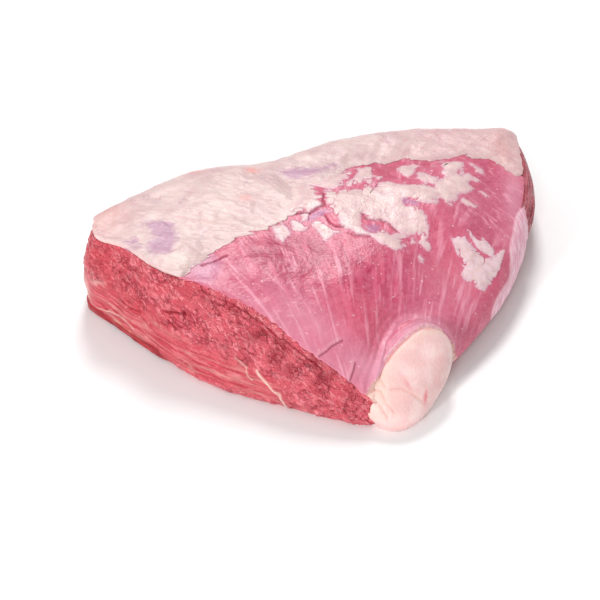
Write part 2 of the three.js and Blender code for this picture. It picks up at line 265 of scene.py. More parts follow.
# Whole numbers that scramble a place and a seed into an even random value
PLACE_KEYS = np.array([73856093, 19349663, 83492791])
SEED_KEY, FIRST_KEY, SECOND_KEY, KEPT_BITS = 49979687, 1274126177, 747796405, 0x7FFFFFFF


def lumps(places, size, seed):
    """Smooth random unevenness of that size in mm, from -1 to 1."""
    p = places / size
    cell = np.floor(p).astype(np.int64)
    w = p - cell
    w = w * w * w * (w * (w * 6 - 15) + 10)
    total = np.zeros(len(p))
    for corner in itertools.product((0, 1), repeat=3):
        key = (cell + corner) @ PLACE_KEYS + seed * SEED_KEY
        key = ((key ^ (key >> 13)) * FIRST_KEY) & KEPT_BITS
        key = ((key ^ (key >> 15)) * SECOND_KEY) & KEPT_BITS
        value = ((key ^ (key >> 16)) & 0xFFFF) / 32767.5 - 1
        total += value * np.prod(np.where(corner, w, 1 - w), axis=1)
    return total


def off_line(x, y, line):
    """How far each place lies from a line through those points."""
    best = np.full(len(x), 1e9)
    for (ax, ay), (bx, by) in zip(line, line[1:]):
        dx, dy = bx - ax, by - ay
        t = np.clip(((x - ax) * dx + (y - ay) * dy) / (dx * dx + dy * dy), 0, 1)
        best = np.minimum(best, np.hypot(x - ax - t * dx, y - ay - t * dy))
    return best


def off_lines(x, y, lines):
    """How far each place lies from the nearest of several lines."""
    return np.min([off_line(x, y, line) for line in lines], axis=0)


def vectors(x, y, z=0):
    """Three values for each corner, put together."""
    return np.column_stack(np.broadcast_arrays(x, y, z))


def corners_of(bm):
    return np.array([v.co for v in bm.verts], float).reshape(-1, 3)


def shares_of(ball):
    """How far round a ball each of its corners lies, and how far down it, as shares."""
    share_round = (np.arctan2(ball[:, 1], ball[:, 0]) / (2 * math.pi)) % 1
    return share_round, np.arccos(np.clip(ball[:, 2], -1, 1)) / math.pi


def finished_piece(name, bm, places, fields, material, replaced=()):
    """Writes the shaped piece with its fields, and gives it to the roast's one body."""
    mesh = bpy.data.meshes.new(name)
    bm.to_mesh(mesh)
    bm.free()
    mesh.vertices.foreach_set("co", (places * MM).ravel())
    for field, values in fields.items():
        kind, key = ("FLOAT_VECTOR", "vector") if values.ndim == 2 else ("FLOAT", "value")
        mesh.attributes.new(field, kind, "POINT").data.foreach_set(key, values.astype(np.float32).ravel())
    mesh.update()
    mesh.shade_smooth()
    piece = bpy.data.objects.new(name, mesh)
    bpy.context.scene.collection.objects.link(piece)
    piece.data.materials.append(material)
    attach(piece, "root")
    if replaced:
        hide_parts(*replaced)


def node(tree, kind, sockets=None, **settings):
    """A shader node with its settings, its plain values and its links."""
    made = tree.nodes.new("ShaderNode" + kind)
    for key, value in settings.items():
        setattr(made, key, value)
    for socket, value in (sockets or {}).items():
        if isinstance(value, bpy.types.NodeSocket):
            tree.links.new(value, made.inputs[socket])
        else:
            made.inputs[socket].default_value = value
    return made


def flesh(r, g, b):
    """A colour as the eye names it, from 0 to 255, as the shader wants it."""
    return tuple(((c / 255 + 0.055) / 1.055) ** 2.4 if c > 10 else c / 3294 for c in (r, g, b)) + (1,)


def over(tree, share, below, above):
    """One colour laid over another by a share."""
    return node(tree, "Mix", {0: share, 6: below, 7: above}, data_type="RGBA").outputs[2]


def blend(tree, share, first, second):
    """One value passing into another by a share."""
    return node(tree, "Mix", {0: share, 2: first, 3: second}).outputs[0]


def plus(tree, first, second):
    return node(tree, "Math", {0: first, 1: second}, operation="ADD").outputs[0]


def times(tree, first, second):
    return node(tree, "Math", {0: first, 1: second}, operation="MULTIPLY").outputs[0]


def laid_over(tree, colour, layers):
    """Colours laid over one another, each by a mask and a strength, and given from 0 to 255."""
    for mask, strength, paint in layers:
        share = mask if strength == 1 else times(tree, mask, strength)
        colour = over(tree, share, colour, flesh(*paint))
    return colour


def summed(tree, masks):
    """Masks added up, each times its weight."""
    total = 0.0
    for mask, weight in masks:
        total = plus(tree, total, times(tree, mask, weight))
    return total


def field_of(tree, name, output="Fac"):
    return node(tree, "Attribute", attribute_name=name, attribute_type="GEOMETRY").outputs[output]


def between(tree, value, low, high, to_low=0.0, to_high=1.0):
    """A value eased from one range to another."""
    sockets = {"Value": value, "From Min": low, "From Max": high, "To Min": to_low, "To Max": to_high}
    return node(tree, "MapRange", sockets, interpolation_type="SMOOTHSTEP").outputs["Result"]


def drawn_out(tree, places, direction, times_longer):
    """The same places with everything drawn out along a direction, in degrees."""
    settings = {"Vector": places, "Rotation": (0, 0, math.radians(direction)), "Scale": (times_longer, 1, 1)}
    return node(tree, "Mapping", settings, vector_type="TEXTURE").outputs[0]


def new_group(name, takes, gives):
    """A node group with named inputs and outputs, and its two end nodes."""
    tree = bpy.data.node_groups.new(name, "ShaderNodeTree")
    for side, sockets in (("INPUT", takes), ("OUTPUT", gives)):
        for label, kind in sockets.items():
            tree.interface.new_socket(label, in_out=side, socket_type="NodeSocket" + kind)
    return tree, tree.nodes.new("NodeGroupInput"), tree.nodes.new("NodeGroupOutput")


def placed(tree, group, **sockets):
    """A node group set into a material with its own values."""
    return node(tree, "Group", sockets, node_tree=group)


# Mottling: soft blotches, 0 to 1, of a size in mm and between two levels of the noise
mottling, given, asked = new_group(
    "mottling",
    {"Vector": "Vector", "Size": "Float", "Detail": "Float", "Low": "Float", "High": "Float"},
    {"Mask": "Float"},
)
per_size = node(mottling, "Math", {0: 1.0, 1: given.outputs["Size"]}, operation="DIVIDE").outputs[0]
cloud = node(
    mottling, "TexNoise",
    {"Vector": given.outputs["Vector"], "Scale": per_size, "Detail": given.outputs["Detail"]},
)
mottling.links.new(
    between(mottling, cloud.outputs["Fac"], given.outputs["Low"], given.outputs["High"]), asked.inputs["Mask"]
)


def mottled(tree, places, size, detail, low, high):
    return placed(tree, mottling, Vector=places, Size=size, Detail=detail, Low=low, High=high).outputs["Mask"]


# Bundles: the ends of muscle fibres, a random tone for each, a mask of the creases between them, which the
# cut paints dark as shade, and their swell
bundles, given, asked = new_group(
    "fibre_bundles", {"Vector": "Vector", "Size": "Float", "Wander": "Float"},
    {"Shade": "Float", "Crease": "Float", "Swell": "Float"},
)
here, wander = given.outputs["Vector"], given.outputs["Wander"]
per_size = node(bundles, "Math", {0: 1.0, 1: given.outputs["Size"]}, operation="DIVIDE").outputs[0]
drift = node(bundles, "TexNoise", {"Vector": here, "Scale": per_size, "Detail": 2.0})
aside = node(bundles, "VectorMath", {0: drift.outputs["Color"], 1: (0.5, 0.5, 0.5)}, operation="SUBTRACT")
aside = node(bundles, "VectorMath", {0: aside.outputs[0], "Scale": wander}, operation="SCALE")
strayed = node(bundles, "VectorMath", {0: here, 1: aside.outputs[0]}, operation="ADD").outputs[0]
cells = node(bundles, "TexVoronoi", {"Vector": strayed, "Scale": per_size})
edges = node(bundles, "TexVoronoi", {"Vector": strayed, "Scale": per_size}, feature="DISTANCE_TO_EDGE")
shade = node(bundles, "SeparateColor", {"Color": cells.outputs["Color"]})
bundles.links.new(shade.outputs["Red"], asked.inputs["Shade"])
bundles.links.new(between(bundles, edges.outputs["Distance"], 0.0, 0.12, 1.0, 0.0), asked.inputs["Crease"])
bundles.links.new(between(bundles, edges.outputs["Distance"], 0.0, 0.4), asked.inputs["Swell"])


def winding(tree, places, scale, detail, level, half_width):
    """Thin winding lines, where soft noise passes through a level."""
    cloud = node(tree, "TexNoise", {"Vector": places, "Scale": scale, "Detail": detail}).outputs["Fac"]
    off = node(tree, "Math", {0: plus(tree, cloud, -level)}, operation="ABSOLUTE").outputs[0]
    return between(tree, off, 0.0, half_width, 1.0, 0.0)


def flesh_material(name, roughness, glow, glow_depth_mm, specular=0.45):
    """A new moist material: the light goes a little way in, redder the deeper."""
    material = bpy.data.materials.new(name)
    material.use_nodes = True
    shader = material.node_tree.nodes["Principled BSDF"]
    shader.inputs["Roughness"].default_value = roughness
    shader.inputs["Specular IOR Level"].default_value = specular
    shader.inputs["Subsurface Weight"].default_value = glow
    shader.inputs["Subsurface Radius"].default_value = (1, 0.4, 0.3)
    shader.inputs["Subsurface Scale"].default_value = glow_depth_mm * MM
    return material, material.node_tree, shader


def bumped(tree, shader, height, strength, distance_mm):
    bump = node(tree, "Bump", {"Height": height, "Strength": strength, "Distance": distance_mm * MM})
    tree.links.new(bump.outputs["Normal"], shader.inputs["Normal"])


cut_lean, tree, shader = flesh_material(
    "cut_lean", roughness=0.2, glow=0.08, glow_depth_mm=1.0, specular=0.38
)
face = field_of(tree, "face", "Vector")
from_left = node(tree, "SeparateXYZ", {0: face}).outputs["X"]
long_grain = field_of(tree, "long_grain")
granular = field_of(tree, "granular")
wormy = placed(tree, bundles, Vector=drawn_out(tree, face, -35, 2.6), Size=1.45, Wander=4.5)
clusters = placed(tree, bundles, Vector=drawn_out(tree, face, -25, 1.9), Size=3.6, Wander=6.0)
strands = placed(tree, bundles, Vector=drawn_out(tree, face, -3, 9.0), Size=1.1, Wander=1.2)
shade = blend(tree, long_grain, wormy.outputs["Shade"], strands.outputs["Shade"])
swell = blend(tree, long_grain, wormy.outputs["Swell"], strands.outputs["Swell"])
strand_crease = times(tree, strands.outputs["Crease"], 0.3)
crease = blend(tree, long_grain, times(tree, wormy.outputs["Crease"], 0.5), strand_crease)
split = times(tree, clusters.outputs["Crease"], mottled(tree, face, 9.0, 1.0, 0.4, 0.6))
split = times(tree, split, blend(tree, long_grain, 1.0, 0.15))
blotch = mottled(tree, face, 10.0, 3.0, 0.38, 0.62)
fine = mottled(tree, face, 0.9, 2.0, 0.3, 0.7)
layer = mottled(tree, drawn_out(tree, face, 0, 14.0), 1.1, 2.0, 0.4, 0.6)
redder = times(tree, between(tree, clusters.outputs["Shade"], 0.35, 1.0), blend(tree, granular, 0.35, 0.6))
lighter = between(tree, shade, 0.5, 0.95)
darker = between(tree, shade, 0.05, 0.4, 1.0, 0.0)
paler = between(tree, from_left, 50.0, 90.0, 0.0, 0.18)
paler = plus(tree, paler, between(tree, from_left, 160.0, 185.0, 0.0, 0.15))
paler = times(tree, paler, blend(tree, long_grain, 1.0, 0.0))
web = winding(tree, drawn_out(tree, face, 40, 2.0), 0.22, 2.0, level=0.52, half_width=0.012)
web = times(tree, web, mottled(tree, face, 14.0, 1.0, 0.5, 0.62))
natural = over(tree, blotch, flesh(160, 32, 54), flesh(194, 62, 82))
natural = laid_over(tree, natural, [(layer, 0.55, (232, 130, 144))])
colour = over(tree, blotch, flesh(214, 52, 70), flesh(238, 90, 102))
colour = laid_over(tree, colour, [
    (redder, 1, (190, 22, 50)),
    (lighter, 0.9, (255, 150, 158)),
    (darker, 0.75, (178, 14, 44)),
    (fine, 0.25, (255, 126, 138)),
    (long_grain, 0.4, (208, 72, 90)),
    (paler, 1, (255, 140, 154)),
    # Painted shade in the creases between the bundles and in the deeper splits between their clusters
    (crease, 1, (160, 14, 40)),
    (split, 0.6, (138, 10, 36)),
    (web, 0.5, (255, 186, 182)),
    (field_of(tree, "smooth_red"), 1, (218, 62, 76)),
    # The darker places: painted shade in the dug hollows, and the cut's own dark spots
    (field_of(tree, "dark"), 1, (146, 16, 38)),
])
colour = over(tree, field_of(tree, "cut"), natural, colour)
colour = laid_over(tree, colour, [(field_of(tree, "pale"), 1, (252, 214, 202))])
tree.links.new(colour, shader.inputs["Base Color"])
relief = summed(tree, [(swell, 0.6), (fine, 0.45), (split, -0.8), (layer, 0.5)])
bumped(tree, shader, relief, strength=0.9, distance_mm=0.9)

# The blank is a ball whose rows and columns lie close together on the cut front.
LEAN_COLUMNS, LEAN_ROWS = 640, 150
COLUMN_SHARES, COLUMN_STATIONS = [0, 0.72, 0.78, 0.9, 1], [-2.4, 7.5, 12, 15.3, 21.6]
ROW_SHARES, ROW_DOWNS = [0, 0.06, 0.15, 0.89, 0.95, 1], [0, 0.44, WALL_TOP, WALL_END, FOOT_END, 1]
AT_POLE = 1e-3
FACE_CORNER = np.array([-137, -16])
FACE_WAY = np.array([0.875, -0.484])
# The stations between which the wall is the cut face, and those of the bare right side, with their fading
CUT_STATIONS = (-2.4, -1.9, 7.1, 7.4)
BARE_STATIONS = (12.7, 13.2, 15.2, 15.6)
# Lines on the cut seen from the front, along the face and above the floor, in mm
SEAM = [(5, 26), (10, 25), (24, 24), (44, 26)]
RIDGE = [(3, 8), (9, 8.5), (18, 11), (31, 14), (39, 11)]
TEARS = [[(61, 36), (68, 38.5), (75, 40)], [(66, 32), (69, 30.5), (72, 30)]]
SINEW = [(125, 24), (127, 22), (133.5, 18), (140, 12), (145, 3)]
FAINT_SINEW = [(111, 27), (119, 24), (120.6, 19), (123.7, 17)]
# Soft ovals on it: strength, middle, half sizes and turn in degrees
PEBBLED = [(1, (27, 41), (18, 13), 0)]
SMOOTH_RED = [(0.6, (4, 50), (14, 12), 0), (0.45, (35, 32), (16, 7), -15)]
DARK_SPOTS = [
    (0.6, (134, 35), (4, 5), 30), (0.6, (144, 30), (3, 5), 30), (0.6, (157, 37), (5, 4), 30),
    (0.6, (163, 28), (4, 3), 30), (0.6, (120, 41), (9, 3), 30),
]


def face_place(places):
    """Along the cut face from its left corner, and up it, in mm."""
    return (places[:, :2] - FACE_CORNER) @ FACE_WAY, places[:, 2]


# How far it is along the wall to each station, for grain that doesn't stretch round the corners
steps = np.linspace(-4, 22, 2601)
middles = (rim_at(steps / COUNT_ROUND)[:, :2] + foot_at(steps / COUNT_ROUND)) / 2
lengths = np.concatenate([[0], np.cumsum(np.linalg.norm(np.diff(middles, axis=0), axis=1))])

bm = bmesh.new()
bmesh.ops.create_uvsphere(bm, u_segments=LEAN_COLUMNS, v_segments=LEAN_ROWS, radius=1)
share_round, share_down = shares_of(corners_of(bm))
station = np.interp(share_round, COLUMN_SHARES, COLUMN_STATIONS)
down = np.interp(share_down, ROW_SHARES, ROW_DOWNS)
turn = station / COUNT_ROUND
places = lean_place(turn, down)
outward = lean_outward(turn, down)
outward[share_down < AT_POLE] = (0, 0, 1)
outward[share_down > 1 - AT_POLE] = (0, 0, -1)
along, height = face_place(places)
below_rim = run_to(turn, down) - run_to(turn, np.full(len(turn), TOP + ROUND / 2))
sheet = vectors(np.interp(station, steps, lengths), height)
below_top = ease(down, TOP, TOP + 0.03)
above_foot = 1 - ease(down, WALL_END, FOOT_END)
is_cut = band(station, *CUT_STATIONS) * below_top
on_wall = ease(down, TOP, WALL_TOP) * above_foot
granular = ease(along, 150, 180)
long_grain = band(height, 3, 9, 27 - along * 0.06, 33 - along * 0.06) * (1 - ease(along, 126, 146))

# Furrows between the bundles, and the lines and pebbles that lie in one place each
wavy = sheet + 1.6 * vectors(lumps(sheet, 6, 5), lumps(sheet, 6, 6))
drawn = wavy * (0.6, 1, 1)
furrows = line_like(lumps(drawn, 5.5, 7), 0.13) + 0.6 * line_like(lumps(drawn, 2.8, 8), 0.16)
seam = off_line(along, height + 0.6 * lumps(sheet, 5, 9), SEAM)
ridge = off_line(along, height + 0.5 * lumps(sheet, 4, 9), RIDGE)
torn = off_lines(along, height + lumps(sheet, 3, 9), TEARS)
unsteady = along + 0.7 * lumps(sheet, 5, 10)
sinew = off_line(unsteady, height, SINEW)
faint_sinew = off_line(unsteady, height, FAINT_SINEW)
layers = below_rim + 0.6 * lumps(sheet, 9, 12)
under_lip = line_like(layers - 2.6, 0.6) + 0.7 * line_like(layers - 5.2, 0.7)
under_lip = under_lip * band(along, 74, 92, 150, 172)
pebbled = spots(along, height, PEBBLED)
pebble = line_like(lumps(sheet * (1, 0.7, 1), 2.4, 13), 0.25) * pebbled

# The relief of the cut, in mm
lift = 0.7 * lumps(sheet, 10, 1) + 0.5 * lumps(sheet, 4.5, 2) * (1 - 0.6 * long_grain)
lift -= furrows * (0.15 + 0.25 * granular) * (1 - 0.85 * long_grain) * (1 - 0.5 * pebbled) + 0.5 * pebble
lift += 0.45 * lumps(wavy, 2.1, 17) * (1 - 0.7 * long_grain) * (1 + granular)
lift -= 0.9 * line_like(seam, 0.8) * ease(along, 6, 12) + 1.1 * line_like(torn, 0.8) + 0.5 * under_lip
lift += 0.7 * line_like(ridge, 1.1) + 0.8 * line_like(sinew, 0.9) + 0.4 * line_like(faint_sinew, 0.8)
lift += 0.5 * near(along, height, (9, 30), (7, 5))

# The bare right side, past the cap's trimmed end, where thin layers of muscle show edge on
bare_side = band(station, *BARE_STATIONS) * below_top
side_layers = np.sin(below_rim * 1.9 + 1.5 * lumps(places, 11, 18)) * lumps(sheet * (0.3, 1, 1), 7, 19)
hidden = (-0.7 + 0.3 * lumps(places, 12, 4)) * (1 - bare_side) + (0.6 + 0.6 * side_layers) * bare_side

# The loose fat at the thin tip, which the knob's fat runs on into
tip_fat = ease(places[:, 0] + 1.3 * lumps(sheet, 4, 16) - 30 - 0.42 * (20 - height), -0.6, 0.6)
tip_fat = tip_fat * band(station, 6, 6.5, 8.5, 9) * below_top
ripples = 0.8 + 0.6 * np.sin(places[:, 0] * 1.3 - height * 0.5 + 2 * lumps(places, 6, 20))
lift = np.where(down < TOP, hidden, lift * is_cut * on_wall + (1 - is_cut) * hidden * above_foot)
lift += tip_fat * on_wall * ripples
places = places + outward * lift[:, None]
places[:, 2] = np.maximum(places[:, 2], 0)

# The darker places: painted shade in the hollows dug for the seam, the tears, the layer lines under the lip,
# between the pebbles and in the furrows, and between the layers of the bare side; the dark spots are the
# cut's own colour
dark = 0.55 * line_like(seam, 0.7) * ease(along, 12, 30) + 0.8 * line_like(torn, 0.7)
dark += 0.65 * under_lip + 0.5 * pebble + spots(along, height, DARK_SPOTS)
dark += 0.06 * furrows * (1 - long_grain) * (1 - pebbled)
pale = 0.8 * line_like(ridge, 0.55) * ease(along, 4, 14)
pale += 0.95 * line_like(sinew, 0.75) + 0.5 * line_like(faint_sinew, 0.6)
pale += 0.4 * near(along, height, (9, 30), (6, 5)) * (0.5 + 0.8 * lumps(sheet, 3, 14))
pale += 0.7 * near(along, height, (-2, 14), (4, 12))
pale += 0.25 * long_grain * line_like(lumps(sheet * (0.08, 1, 1), 2.6, 15), 0.2)
fields = {
    "cut": is_cut,
    "face": vectors(sheet[:, 0], np.where(is_cut > 0.5, height, below_rim)),
    "long_grain": long_grain,
    "granular": granular,
    "smooth_red": np.clip(spots(along, height, SMOOTH_RED), 0, 0.8),
    "dark": np.clip(np.where(is_cut > 0.5, dark, bare_side * ease(-side_layers, 0.25, 0.6)), 0, 0.9),
    "pale": np.clip(pale * is_cut + 0.95 * tip_fat, 0, 1),
}
finished_piece("lean_muscle", bm, places, fields, cut_lean, ["lean"])

# The flap: a strip of the neighbouring muscle, left on under the left front corner by the knife.
# It is darker than the cut above it, smooth, and lies flat along the lower edge.
FLAP_FROM, FLAP_TO = -0.9, 2.75
FLAP_HEIGHT, FLAP_PROUD, FLAP_REACH, FLAP_FULLNESS, FLAP_BLUNTNESS = 8, 1.5, 26, 0.5, 6
RIND_HEIGHT, RIND_HALF, RIND_SPAN = 7.4, 0.7, (16, 24, 44, 52)
FLAP_COLUMNS, FLAP_ROWS = 64, 220


def fuller(value, fullness):
    """A number from -1 to 1 moved towards its nearer end, which makes a ball boxier."""
    return np.sign(value) * np.abs(value) ** fullness


flap_lean, tree, shader = flesh_material("flap_lean", roughness=0.3, glow=0.1, glow_depth_mm=1.0)
along_flap = field_of(tree, "along", "Vector")
strands = mottled(tree, drawn_out(tree, along_flap, 0, 10.0), 1.4, 3.0, 0.35, 0.65)
colour = over(tree, strands, flesh(134, 14, 30), flesh(184, 44, 56))
colour = laid_over(tree, colour, [(field_of(tree, "rind"), 1, (244, 186, 164))])
tree.links.new(colour, shader.inputs["Base Color"])
bumped(tree, shader, strands, strength=0.6, distance_mm=0.6)

# The blank is a ball with its poles at the strip's two ends.
bm = bmesh.new()
bmesh.ops.create_uvsphere(bm, u_segments=FLAP_COLUMNS, v_segments=FLAP_ROWS, radius=1)
ball = corners_of(bm)
lengthways, up, across = ball[:, 2], ball[:, 1], ball[:, 0]
girth = np.sqrt(np.maximum(1 - lengthways**2, 1e-9))
slim = np.sqrt(np.maximum(1 - np.abs(lengthways) ** FLAP_BLUNTNESS, 0))
turn = (FLAP_FROM + (FLAP_TO - FLAP_FROM) * (lengthways + 1) / 2) / COUNT_ROUND
rim, foot = rim_at(turn), foot_at(turn)
out = rim[:, :2] - CROWN[:2]
out = out / np.linalg.norm(out, axis=1)[:, None]
half_wide = (FLAP_REACH + FLAP_PROUD) / 2
reach = FLAP_PROUD - half_wide + half_wide * slim * fuller(across / girth, FLAP_FULLNESS)
level = FLAP_HEIGHT / 2 * (1 + slim * fuller(up / girth, FLAP_FULLNESS))
places = np.column_stack([foot + out * reach[:, None], level])
ripple = 0.7 * lumps(places, 7, 11) + 0.4 * lumps(places, 3, 12)
places[:, :2] += out * (ripple * ease(level, 0, 3))[:, None]
along, height = face_place(places)
fields = {
    "along": vectors(along, height, reach),
    "rind": 0.9 * line_like(height - RIND_HEIGHT, RIND_HALF) * band(along, *RIND_SPAN),
}
finished_piece("flap_muscle", bm, places, fields, flap_lean, ["flap"])

# The skin: the thin, tight membrane of the muscle's natural top, which wraps over the right side.
# The lean shows pink through it in streaks that fan out from the knob, and patches of loose fat lie on it.
SKIN_DIVISIONS = 300
SKIN_THICK, HEM_DEPTH, SKIN_LOWEST = 0.35, 1.6, 0.5
# The place seen from above that the streaks fan out from, and their breadth for each radian
FAN_POLE, FAN_BREADTH = (38, -170), 130
# Where the skin ends, by station: a share of the way down from crown to underside, as for the lean
SKIN_EDGE = [
    (-10.2, 0.475), (-9.25, 0.42), (-8.5, 0.36), (-7.1, 0.38), (-5.5, 0.345), (-4.95, 0.35), (-4.5, 0.22),
    (-3.8, 0.175), (-2.7, 0.18), (-1, 0.185), (0, 0.21), (1.27, 0.27), (1.8, 0.35), (2.15, 0.43),
    (2.4, 0.495), (6.5, 0.495), (7.2, 0.56), (9.0, 0.62), (10, 0.7), (12, 0.7), (12.7, 0.56), (13.2, 0.5),
    (13.6, 0.49),
]
# Loose patches of fat, seen from above
FAT_PATCHES = [
    [
        (-19, 2), (-12.5, 3.4), (-4, 4.2), (0, 8), (4.8, 11), (3.6, 16), (3.2, 22), (-1, 27), (-5, 33),
        (-13, 37), (-20, 34), (-20, 18),
    ],
    [
        (-13, 33), (-11, 31), (-6, 31), (-1, 29), (2, 23), (5, 19), (4, 14), (2, 9), (-4, 11), (-8, 15),
        (-12, 25), (-13, 29),
    ],
    [
        (-3, 36), (2, 37), (5, 43), (12, 44), (19, 44), (20, 39), (15, 33), (17, 29), (10, 25), (3, 28),
        (-4, 31),
    ],
    [(18, 34), (23, 38), (26, 50), (31, 54), (35, 53), (35, 43), (34, 37), (29, 34), (22, 29), (18, 29)],
    [
        (5, 15), (4, 24), (12, 24), (17, 26), (27, 26), (31, 30), (35, 27), (38, 31), (37, 34), (43, 35),
        (49, 33), (54, 32), (60, 33), (65, 33), (71, 32), (74, 27), (75, 22), (74, 17), (67, 17), (59, 17),
        (52, 19), (54, 14), (59, 14), (62, 12), (66, 7), (67, -4), (66, -8), (67, -17), (65, -18),
        (59, -14), (60, -11), (58, -8), (52, -9), (47, -7), (42, -1), (38, 1), (34, 0), (30, 1), (27, 5),
        (27, -3), (28, -8), (31, -11), (35, -11), (38, -6), (43, -10), (47, -8), (51, -9), (53, -11),
        (49, -16), (51, -20), (46, -23), (35, -19), (31, -14), (24, -13), (16, -8), (13, -4), (14, -2),
        (8, 5),
    ],
    [
        (-4, -5), (-1, -2), (3, -2), (8, -7), (14, -10), (14, -12), (10, -13), (6, -18), (4, -18), (3, -15),
        (0, -9),
    ],
    [(-15, -2), (-12, -1.5), (-9.5, -3), (-4, -7.6), (-7.8, -11), (-13.6, -10)],
    [(-27, -6), (-25, -11), (-23, -16.5), (-19, -20), (-15, -12.5), (-17, -7), (-19, -4)],
    [(50, 51), (53, 56), (59, 57), (61, 60), (64, 54), (60, 46), (59, 42), (56, 39), (50, 46)],
    [(62, 46), (64, 47), (70, 43), (71, 41), (70, 38), (67, 34), (62, 40)],
    [
        (78, 54), (80, 58), (86, 60), (92, 59), (92, 56), (89, 51), (87, 48), (89, 46), (94, 50), (96, 48),
        (94, 42), (97, 38), (95, 34), (88, 31), (84, 24), (78, 19), (76, 22), (71, 28), (73, 38), (80, 43),
        (78, 45),
    ],
    [(97, 59), (101, 58), (103, 55), (104, 51), (99, 52)],
    [(88, 24), (89, 28), (94, 25), (99, 22), (91, 22)], [(100, 36), (103, 36), (108, 33), (104, 33)],
    [(58, -23), (60, -22), (62, -24), (62, -27), (59, -27)],
    [
        (78, -4), (81, -6), (88, -3), (92, -8), (97, -12), (100, -14), (107, -8), (113, -2), (111, -12),
        (113, -14), (112, -16), (108, -21), (103, -27), (99, -31), (99, -34), (92, -32), (83, -29),
        (86, -23), (84, -19), (81, -10),
    ],
    [(90, 2), (95, -2), (99, -1), (105, -5), (106, -7), (103, -11), (95, -9), (91, -3)],
]
# Where crumbs of fat lie scattered between the patches
CRUMBS = [
    [
        (-24, -6), (-22, 12), (-20, 36), (0, 42), (18, 47), (36, 58), (46, 60), (38, 30), (20, 26), (8, 10),
        (2, 0), (-12, -4),
    ],
    [(46, 34), (48, 56), (60, 62), (80, 60), (98, 60), (104, 50), (97, 30), (80, 17), (72, 30)],
    [(28, -12), (34, -14), (52, -22), (60, -20), (56, -8), (44, -4)],
]
# Places where the fat is so thin that the dusky muscle shows through
DUSKY = [
    [(-6, -2), (-4, 2), (2, 7), (8, 7), (8, 4), (0, -1), (-4, -3)],
    [(27, -5), (34, -3), (38, -5), (35, -11), (30, -10)],
    [(50, 17), (53, 20), (61, 17), (62, 14), (53, 14)],
    [(-21, 39), (-7, 40), (5, 46), (2, 39), (-5, 35), (-13, 32)],
]
# Cracks where a patch of fat has parted from the skin, painted dark as the shadow in them
CRACKS = [
    [(-12.4, 3.5), (-7, 4.5), (-3.6, 3.5), (1, 8), (5.3, 10.6), (3.7, 15), (4.5, 19), (3.7, 22.4)],
    [(27, 5), (30, 1), (34, 0), (38, 1), (42, -1), (47, -7)], [(5, 2), (8, -4), (11, -6), (16, -7)],
    [(18, -11), (22, -13), (31, -14)], [(-65, -41), (-61, -39), (-56, -36), (-52, -33)],
]
# Where the loose fat has broken up into lobes with the skin showing between them
BROKEN_UP = [((4, 20), (26, 24)), ((30, 42), (26, 12)), ((50, 10), (30, 24)), ((92, -16), (14, 16))]
# Where the skin is creased near the cut: the crease is only painted, a line of painted shade with a painted
# highlight on its upper left
CREASES = [[(1, -91), (5, -88), (8, -85), (14, -81)], [(18, -100), (20, -95), (21, -91)]]
# Where bluish translucent tissue thins out between the fat cap and the cut
BLUISH_PLACE = [(-73, -50), (-66, -38), (-59, -31), (-54, -38), (-58, -54), (-68, -53)]
# Where the thin film of the right side begins
SIDE_LINE = [(102, -37), (107, -29), (111, -22), (114, -14), (115, -4), (116, 5), (120, 19), (126, 34)]
# The knob of fat, which the skin climbs on to: its middle, half sizes, and turns in degrees
KNOB_MIDDLE, KNOB_HALF = np.array([50.5, -85, 16]), np.array([33.5, 21.5, 15])
KNOB_HEADING, KNOB_PITCH, KNOB_ROLL, KNOB_FULLNESS = 57, 22, 22, 0.8
# The line on the knob, seen from above, up to which the skin reaches
KNOB_GROOVE = [
    (24, -110), (26, -105), (29, -101), (32, -95.5), (36.5, -89.5), (41, -83.5), (46.5, -78), (53, -72.5),
    (61, -66), (70, -64), (77, -64), (82, -69),
]
KNOB_SIDE = KNOB_GROOVE + [(110, -80), (110, -140), (24, -140)]
# Soft ovals of colour seen from above: strength, middle, half sizes and turn in degrees
RICH_SPOTS = [
    (0.95, (-18, -34), (34, 24), -30), (0.35, (34, -40), (34, 20), 0), (0.35, (45, 55), (40, 8), 0),
    (0.45, (10, -30), (30, 16), 0),
]
MAUVE_SPOTS = [(0.7, (100, 26), (26, 34), 0), (0.35, (62, -35), (14, 20), 0)]
WARM_SPOTS = [(0.35, (78, -30), (16, 14), 0), (0.25, (30, -72), (34, 14), -20)]
LILAC_SPOTS = [
    (0.6, (-64, -44), (9, 9), 0), (0.35, (24, -92), (12, 10), 0), (0.4, (-6, -72), (30, 13), -32),
    (0.2, (78, -36), (18, 16), 0), (0.45, (122, 40), (7, 30), -5),
]
# How far inside an outline a place counts as lying where the outline can't reach, in mm
FAR_OFF = -9


def turned_about(axis, degrees):
    """The turn about the x, y or z axis, as a matrix."""
    first, second = (axis + 1) % 3, (axis + 2) % 3
    angle = math.radians(degrees)
    turned = np.eye(3)
    turned[[first, second], [first, second]] = math.cos(angle)
    turned[first, second], turned[second, first] = -math.sin(angle), math.sin(angle)
    return turned


knob_lie = turned_about(2, KNOB_HEADING) @ turned_about(1, -KNOB_PITCH) @ turned_about(0, KNOB_ROLL)


def off_knob(places):
    """Roughly how far each place lies outside the knob's surface, in mm."""
    local = np.abs((places - KNOB_MIDDLE) @ knob_lie / KNOB_HALF)
    level = np.sum(local ** (2 / KNOB_FULLNESS), axis=1) ** (KNOB_FULLNESS / 2)
    return (level - 1) * 20


def inside_by(x, y, outline):
    """How far each place lies inside a closed outline; outside it is negative."""
    within = np.zeros(len(x), bool)
    for (ax, ay), (bx, by) in zip(outline, outline[1:] + outline[:1]):
        if ay != by:
            crosses = ((ay > y) != (by > y)) & (x < (bx - ax) * (y - ay) / (by - ay) + ax)
            within ^= crosses
    distance = off_line(x, y, outline + outline[:1])
    return np.where(within, distance, -distance)


def inside_any(x, y, outlines):
    """How far each place lies inside one of several closed outlines."""
    return np.max([inside_by(x, y, outline) for outline in outlines], axis=0)


